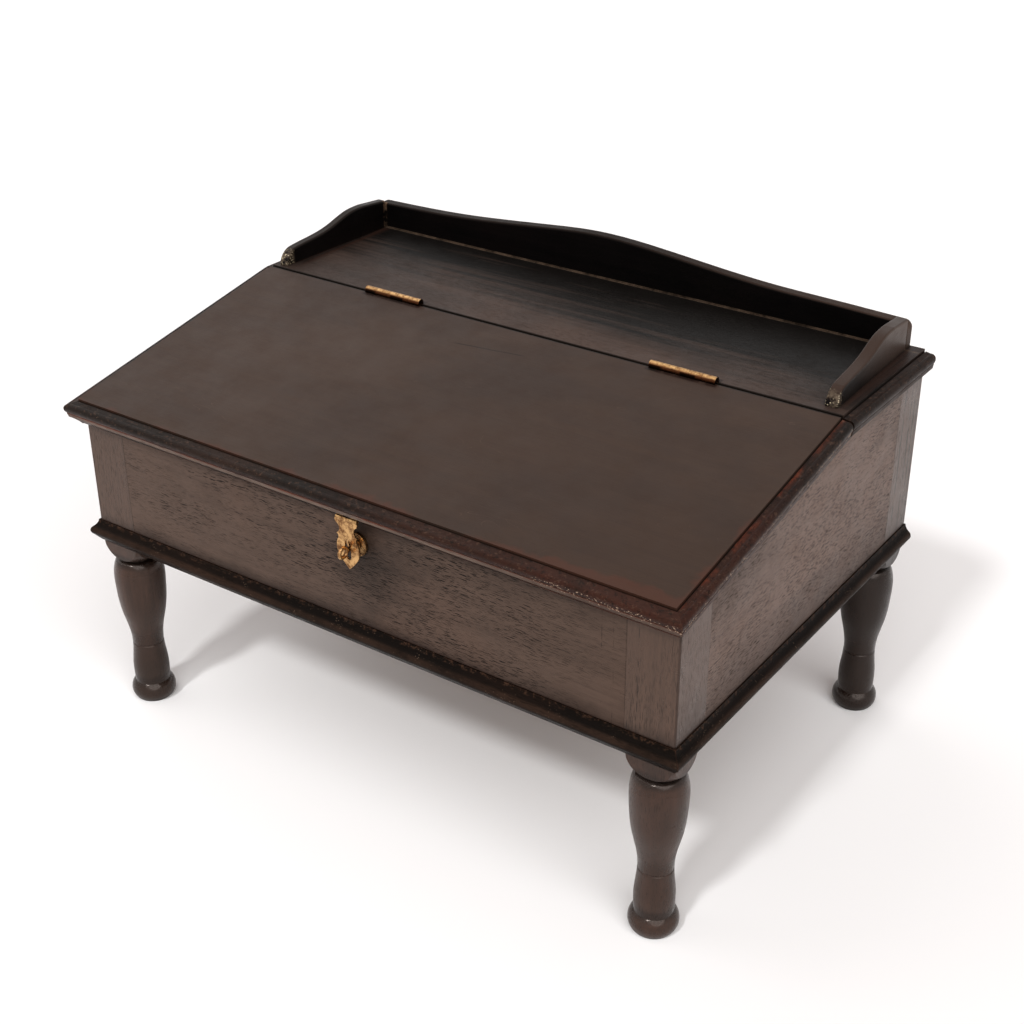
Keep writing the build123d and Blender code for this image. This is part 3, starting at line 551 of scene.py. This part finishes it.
def hinge_details(n, colour):
    """Painted shade in the gaps along the barrels' fronts and on the open ends."""
    front = n.ramp(n.part("y", "Normal"), -0.5, -0.7)
    low = n.ramp(n.part("z", "Normal"), 0.50, 0.30)
    ends = n.ramp(n.absolute(n.part("x", "Normal")), 0.7, 0.9)
    # painted shade in the gaps and on the open ends
    return n.mix(n.most(n.times(hinge_slots(n), front, low, 0.92), n.times(ends, 0.7)), colour, HINGE_GAP_SHADE)


def hinge_marks(n, colour, depth, place):
    """Dark reddish marks and painted shadow on the wood beside the hinge barrels."""
    x = n.part("x")
    # painted shadow on the wood under the barrels' gaps
    colour = n.mix(n.times(hinge_slots(n), n.stripe(depth, place, 0.0014, 0.0004), 0.95), colour, BLACK)
    # reddish marks and painted shadow beside the barrels
    beside = n.most(*[n.stripe(x, centre, BARREL_HALF, 0.0015) for centre in hinge_centres])
    near = n.stripe(depth, place, 0.0016, 0.0010)
    return n.mix(n.times(beside, near, n.patches(130.0, 0.36, 0.50, shift=0.8), 0.9), colour, HINGE_MARK_AND_SHADOW)


def lid_details(n, colour):
    """Worn reddish edges, a stained front right corner, a crack and a few fine scratches."""
    x, y = n.part("x"), n.part("y")
    down = n.minus(y, front_y)
    right = n.minus(side_x, x)
    blotch = n.times(n.noise(n.place(), 30.0, 4.0, 0.65), 0.03)
    corner = n.ramp(n.plus(down, right), *LID_CORNER, 0.0, 0.008)
    near = n.plus(n.math("MINIMUM", down, right), blotch)
    colour = n.mix(n.times(n.ramp(n.minus(near, corner), *LID_WORN), 0.5), colour, LID_EDGE)
    back = n.minus(hinge_line, y)
    colour = n.mix(n.ramp(back, *LID_SHADE, 0.0, 0.9), colour, BLACK)
    colour = hinge_marks(n, colour, back, LID_HINGE_MARKS)
    leaning = n.minus(y, n.times(x, LID_CRACK_LEAN))
    crack = n.times(n.cracks(leaning, [LID_CRACK_Y], 0.0003, 0.26),
                    n.stripe(x, LID_CRACK_X, LID_CRACK_HALF, 0.006), 0.8)
    colour = n.mix(crack, colour, BLACK)
    scratch = n.noise(n.place((0.35, 1.0, 1.0), 1.1), 55.0, 1.0, 0.5, 1.5)
    thin = n.times(n.stripe(scratch, 0.5, 0.0016, 0.0016),
                   n.patches(19.0, 0.58, 0.66, detail=2.0, rough=0.55))
    return n.mix(n.times(thin, 0.2), colour, SCRATCH)


def gallery_foot(n, colour):
    """Dust in the corner between the gallery and the shelf."""
    y_line = n.stripe(n.part("y"), gallery_y, 0.0010, 0.0005)
    z_line = n.stripe(n.part("z"), shelf_top, 0.0009, 0.0005)
    broken = n.patches(42.0, 0.40, 0.56, detail=6.0, rough=0.75, shift=1.9, least=0.1, most=0.65)
    return n.mix(n.times(y_line, z_line, broken), colour, DUST)


def shelf_details(n, colour):
    """Dark streaks towards the gallery, striped ends outside it, and dust along its foot."""
    x = n.part("x")
    front = n.minus(n.part("y"), hinge_line)
    streak = n.noise(n.place((1.0, 30.0, 30.0), 2.2), 5.0, 5.0, 0.65)
    broad = n.noise(n.place((1.0, 4.0, 4.0)), 4.0, 3.0, 0.6)
    depth = n.plus(front, n.times(n.minus(streak, 0.5), 0.10))
    depth = n.plus(depth, n.times(n.minus(broad, 0.5), 0.09))
    depth = n.plus(depth, n.times(x, 0.08))
    colour = n.mix(n.ramp(depth, *SHELF_FADE), colour, SHELF_DARK)
    colour = n.mix(n.ramp(front, *SHELF_SHADE, 0.0, 0.9), colour, BLACK)
    outer = n.ramp(n.absolute(x), gallery_right - 0.003, gallery_right + 0.002, 0.0, 0.8)
    striped = n.ramp(n.noise(n.place((40.0, 1.0, 1.0), 3.7), 6.0, 3.0, 0.6), 0.42, 0.58)
    strip = n.mix(striped, SHELF_OUTER, SHELF_DARK)
    colour = n.mix(n.times(outer, n.ramp(front, *SHELF_END_FADE)), colour, strip)
    colour = hinge_marks(n, colour, front, SHELF_HINGE_MARKS)
    return gallery_foot(n, colour)


# ---- gallery and mouldings ------------------------------------------------------------------
def gallery_details(n, colour):
    """Painted light on the outsides and tops, worn toes with a painted highlight and painted glints, dust at
    the foot and pale glue in the left corner.
    """
    x = n.part("x")
    up = n.ramp(n.part("z", "Normal"), 0.35, 0.9)
    outward = n.times(n.part("x", "Normal"), n.math("SIGN", x))
    outside = n.ramp(n.most(outward, n.part("y", "Normal")), 0.4, 0.8)
    back = n.minus(n.part("y"), hinge_line)
    high = n.minus(n.part("z"), shelf_top)
    # painted light on the outsides, paler towards the back and top
    lit = n.ramp(n.plus(back, n.times(high, 2.0)), *GALLERY_LIT, 0.05, 1.0)
    colour = n.mix(n.times(outside, lit, 0.9), colour, GALLERY_OUTSIDE_LIT)
    # painted light on the tops, paler to the right
    top = n.mix(n.ramp(x, 0.0, 0.22), GALLERY_TOP_LIT, GALLERY_TOP_RIGHT_LIT)
    colour = n.mix(n.times(up, 0.8), colour, top)
    # worn toes with a painted highlight
    toe_back, toe_high = n.ramp(back, *TOE_BACK), n.ramp(high, *TOE_HIGH)
    toe = n.times(toe_back, toe_high, n.patches(160.0, 0.44, 0.56, detail=5.0, rough=0.75, shift=0.6))
    colour = n.mix(n.times(toe, 0.6), colour, TOE_WEAR_AND_HIGHLIGHT)
    # painted glints on the toes
    pale_specks_and_glints = n.times(n.specks(700.0, 0.34, 150.0, 0.42), toe_back, toe_high)
    colour = n.mix(n.times(pale_specks_and_glints, 0.8), colour, TOE_GLINT)
    corner = n.times(n.stripe(x, gallery_left, 0.0012, 0.001),
                     n.stripe(n.part("y"), gallery_y, 0.0016, 0.001),
                     n.patches(90.0, 0.40, 0.54, detail=5.0, shift=2.9))
    colour = n.mix(n.times(corner, 0.6), colour, GLUE)
    return gallery_foot(n, colour)


def nose_polish(n):
    """Handling has polished the edges in patches."""
    return n.times(n.edges(0.003, 0.0, 0.1), n.patches(60.0, 0.45, 0.60))


def gallery_polish(n):
    """The toes of the brackets shine from handling, and so do the edges in patches."""
    back = n.minus(n.part("y"), hinge_line)
    high = n.minus(n.part("z"), shelf_top)
    toe = n.times(n.ramp(back, *TOE_WAXED_BACK), n.ramp(high, *TOE_WAXED_HIGH), 1.5)
    return n.most(nose_polish(n), toe)


def lip_details(n, colour, below):
    """A lip painted paler as lit and a broken red line in front, darker at the sides, with pits above."""
    x = n.part("x")
    ahead = n.ramp(n.absolute(n.part("x", "Normal")), 0.25, 0.60, 1.0, 0.15)
    # painted light on the lip of mouldings that face the front
    lip = n.stripe(below, LIP_BELOW, LIP_HALF, 0.0004)
    patch = n.patches(34.0, 0.30, 0.52, rough=0.6, least=0.5)
    colour = n.mix(n.times(lip, patch, ahead), colour, n.mix(n.ramp(x, *LIP_RIGHT), LIP_LIT, FRONT))
    red = n.stripe(below, RED_BELOW, RED_HALF, 0.0006)
    red = n.times(red, ahead, n.patches(26.0, 0.42, 0.55), n.ramp(x, *RED_RIGHT, 1.0, 0.4))
    colour = n.mix(n.times(red, 0.8), colour, RED)
    above = n.ramp(below, *PITS_FROM)
    pale = n.patches(330.0, 0.56, 0.66, rough=0.75, shift=1.3)
    pits = n.patches(300.0, 0.54, 0.62, rough=0.75, shift=4.3)
    colour = n.mix(n.times(pale, above, 0.5), colour, TRIM_MARK)
    return n.mix(n.times(pits, above, 0.7), colour, BLACK)


def lid_trim_details(n, colour):
    """Painted shade in dark red under the nose, a lip painted paler as lit, worn red patches, a worn right
    corner, and pale dust specks with painted glints.
    """
    x, y = n.part("x"), n.part("y")
    below = n.along(ACROSS_LID, LID_TOP)
    corner = n.ramp(n.minus(x, n.times(y, 1.6)), 0.24, 0.46)
    corner = n.times(corner, n.patches(24.0, 0.34, 0.62, rough=0.65, least=0.2, most=0.8))
    colour = n.mix(n.times(corner, 0.7), colour, CORNER_RED)
    # painted shade in dark red under the nose
    colour = n.mix(n.times(n.stripe(below, NOSE_BELOW, NOSE_HALF, 0.0010), 0.75), colour, NOSE_RED_SHADE)
    beside = n.ramp(n.absolute(x), lid_side + WORN_WIDTH[0], lid_side + WORN_WIDTH[1])
    patch = n.patches(22.0, 0.44, 0.54, rough=0.65, shift=0.4)
    worn = n.times(beside, patch, n.ramp(y, lid_front, lid_front + 0.01), 0.7)
    colour = n.mix(worn, colour, WORN_RED)
    colour = lip_details(n, colour, below)
    # pale dust specks and painted glints near the right corner
    pale_specks_and_glints = n.times(n.specks(620.0, 0.36, 90.0, 0.40), n.stripe(below, DUST_GLINTS_BELOW, DUST_GLINTS_HALF, 0.0008),
                     n.ramp(x, *DUST_GLINTS_RIGHT))
    return n.mix(n.times(pale_specks_and_glints, 0.75), colour, DUST_AND_GLINT)


def shelf_trim_details(n, colour):
    """The same lip as on the lid's mouldings, on the level ones beside the shelf."""
    return lip_details(n, colour, n.along(UP, LID_TOP))


def base_trim_details(n, colour):
    """Brown worn patches with a painted highlight on the nose, painted shade in the crease and along the
    boards, and dust along the top.
    """
    z = n.part("z")
    # wear and a painted highlight along the nose
    nose = n.stripe(z, case_bottom + BASE_NOSE, 0.0012, 0.0016)
    nose = n.times(nose, n.patches(30.0, 0.34, 0.58, detail=5.0, least=0.15, most=0.75))
    colour = n.mix(nose, colour, BASE_NOSE_WEAR_AND_HIGHLIGHT)
    # painted shade in the crease
    crease = n.stripe(z, case_bottom + BASE_CREASE, 0.0016, 0.0010)
    colour = n.mix(n.times(crease, 0.6), colour, TRIM_DARK)
    # painted shade between the moulding and the boards
    inward = n.ramp(n.minus(n.absolute(n.part("x")), side_x), *CREVICE_SHADE)
    behind = n.ramp(n.minus(front_y, n.part("y")), *CREVICE_SHADE)
    high = n.ramp(z, base_top - 0.003, base_top - 0.001)
    colour = n.mix(n.times(high, inward, behind, 0.9), colour, BLACK)
    top = n.times(n.stripe(z, base_top, 0.0018, 0.0012), n.patches(300.0, 0.52, 0.62, rough=0.8))
    return n.mix(n.times(top, 0.45), colour, BASE_DUST)


# ---- materials ------------------------------------------------------------------------------
MATERIALS = {
    "front": wood("front_wood", FRONT, FRONT_DARK, WARM, "x", 0.0, pores=1.0, gloss=0.42, wear=0.3,
                  streaks=0.35, dirt_and_shade_amount=0.6, shine=0.15, details=front_details, smooth=front_smooth),
    # the side boards' paler wood is painted light
    "side": wood("side_wood", SIDE_LIT, SIDE_LIT_DARK, SIDE_LIT_WARM, "y", 1.7, pores=0.85, gloss=0.44, wear=0.3,
                 streaks=0.35, shine=0.15, details=side_details, pore_scale=132.0),
    "leg": wood("leg_wood", LEG, LEG_DARK, LEG_WARM, "z", 0.9, pores=0.55, gloss=0.32, wear=0.4,
                shine=0.30, details=leg_details, polish=leg_polish),
    "lid": wood("lid_wood", LID, LID_DARK, LID_WARM, "x", 2.3, pores=0.08, gloss=0.46, wear=0.5,
                streaks=0.3, shine=0.14, details=lid_details, uneven=0.5),
    "shelf": wood("shelf_wood", SHELF, SHELF_STREAK, WARM, "x", 3.1, pores=0.35, gloss=0.44, wear=0.3,
                  streaks=0.5, shine=0.10, details=shelf_details),
    "gallery_x": wood("gallery_wood_x", GALLERY, GALLERY_DARK, BACK_WARM, "x", 6.4, pores=0.2, gloss=0.42,
                      wear=0.5, shine=0.03, details=gallery_details, rim=BACK_RIM),
    "gallery_y": wood("gallery_wood_y", GALLERY, GALLERY_DARK, BRACKET_WARM, "y", 7.3, pores=0.2, gloss=0.36,
                      wear=0.85, shine=0.08, details=gallery_details, rim=BRACKET_RIM,
                      polish=gallery_polish),
    "bottom": wood("bottom_wood", RAW, RAW_DARK, WARM, "x", 8.8, pores=0.5, gloss=0.6, wear=0.1),
    "hinge": brass("hinge_brass", HINGE_BRIGHT, HINGE_DULL, 0.36, under=HINGE_UNDER_TARNISH_AND_SHADE, details=hinge_details),
    "hasp": brass("hasp_brass", HASP_BRIGHT, HASP_DULL, 0.28),
    "screw": brass("screw_brass", SCREW_BRIGHT, SCREW_DULL, 0.45),
}
for place, tone, shine, details in (("lid", TRIM, 0.10, lid_trim_details),
                                    ("shelf", SHELF_TRIM, 0.05, shelf_trim_details),
                                    ("base", BASE, 0.03, base_trim_details)):
    for grain, shift in (("x", 4.2), ("y", 5.1)):
        key = f"{place}_trim_{grain}"
        MATERIALS[key] = wood(key, tone, TRIM_DARK, BROWN, grain, shift, pores=0.5, gloss=0.40, wear=0.6,
                              shine=shine, dust=0.45, details=details, uneven=4.0, polish=nose_polish)


def material_for(name):
    """The material of a CAD node, by its name."""
    if name.startswith("leg"):
        return "leg"
    if name in ("front_board", "rear_board"):
        return "front"
    if name.startswith("side_board"):
        return "side"
    if name == "bottom_board":
        return "bottom"
    if name == "lid_panel":
        return "lid"
    if name == "shelf_board":
        return "shelf"
    if "moulding" in name:
        return name.split("_")[0] + ("_trim_x" if name.endswith("front") else "_trim_y")
    if name.startswith("gallery"):
        return "gallery_x" if name.endswith("back") else "gallery_y"
    if "screws" in name:
        return "screw"
    return "hinge" if name.startswith("hinge") else "hasp"


for name, obj in nodes.items():
    obj.data.materials.clear()
    obj.data.materials.append(MATERIALS[material_for(name)])


# ---- floor, world, lights and camera --------------------------------------------------------
def make_floor():
    """A wide white sheet of dull paper under the desk."""
    paper = bpy.data.materials.new("floor_paper")
    paper.use_nodes = True
    shader = paper.node_tree.nodes["Principled BSDF"]
    shader.inputs["Base Color"].default_value = FLOOR_PAPER
    shader.inputs["Roughness"].default_value = 1.0
    shader.inputs["Specular IOR Level"].default_value = 0.0
    half = FLOOR_HALF
    corners = [(-half, -half, 0), (half, -half, 0), (half, half, 0), (-half, half, 0)]
    mesh = bpy.data.meshes.new("floor")
    mesh.from_pydata(corners, [], [(0, 1, 2, 3)])
    mesh.materials.append(paper)
    floor = bpy.data.objects.new("floor", mesh)
    bpy.context.scene.collection.objects.link(floor)


def make_world(sky):
    """An even sky of a colour, seen as white by the camera and in gloss."""
    world = bpy.data.worlds.new("studio")
    bpy.context.scene.world = world
    world.use_nodes = True
    tree = world.node_tree
    path = tree.nodes.new("ShaderNodeLightPath")
    seen = path.outputs["Is Camera Ray"]
    for ray in ("Is Glossy Ray", "Is Transmission Ray"):
        either = tree.nodes.new("ShaderNodeMath")
        either.operation = "MAXIMUM"
        tree.links.new(seen, either.inputs[0])
        tree.links.new(path.outputs[ray], either.inputs[1])
        seen = either.outputs[0]
    mix = tree.nodes.new("ShaderNodeMix")
    mix.data_type = "RGBA"
    mix.inputs[6].default_value = sky
    mix.inputs[7].default_value = WHITE
    tree.links.new(seen, mix.inputs[0])
    background = tree.nodes["Background"]
    tree.links.new(mix.outputs[2], background.inputs["Color"])
    background.inputs["Strength"].default_value = 1.0


def make_sun(name, irradiance, height, turn, width):
    """A distant soft lamp: height above the floor and turn from straight in front, in degrees."""
    data = bpy.data.lights.new(name, "SUN")
    data.energy = irradiance
    data.angle = radians(width)
    light = bpy.data.objects.new(name, data)
    light.rotation_euler = (radians(90 - height), 0, radians(turn))
    bpy.context.scene.collection.objects.link(light)


def make_camera():
    """The photograph's camera, with its off-centre picture as a shift."""
    data = bpy.data.cameras.new("photo_camera")
    data.sensor_width = SENSOR
    data.sensor_fit = "HORIZONTAL"
    data.lens = FOCAL_PIXELS * SENSOR / FRAME_PIXELS
    data.shift_x = -(CENTRE_PIXEL[0] - FRAME_PIXELS / 2) / FRAME_PIXELS
    data.shift_y = (CENTRE_PIXEL[1] - FRAME_PIXELS / 2) / FRAME_PIXELS
    camera = bpy.data.objects.new("photo_camera", data)
    turn = (Matrix.Rotation(radians(CAMERA_YAW), 4, "Z")
            @ Matrix.Rotation(radians(90 - CAMERA_DOWN), 4, "X")
            @ Matrix.Rotation(radians(CAMERA_ROLL), 4, "Z"))
    camera.matrix_world = Matrix.Translation(CAMERA_FROM_CASE + Vector((0, front_y, 0))) @ turn
    bpy.context.scene.collection.objects.link(camera)
    bpy.context.scene.camera = camera


make_floor()
make_world(SKY)
for sun in SUNS:
    make_sun(*sun)
make_camera()

scene = bpy.context.scene
scene.view_settings.view_transform = "Standard"
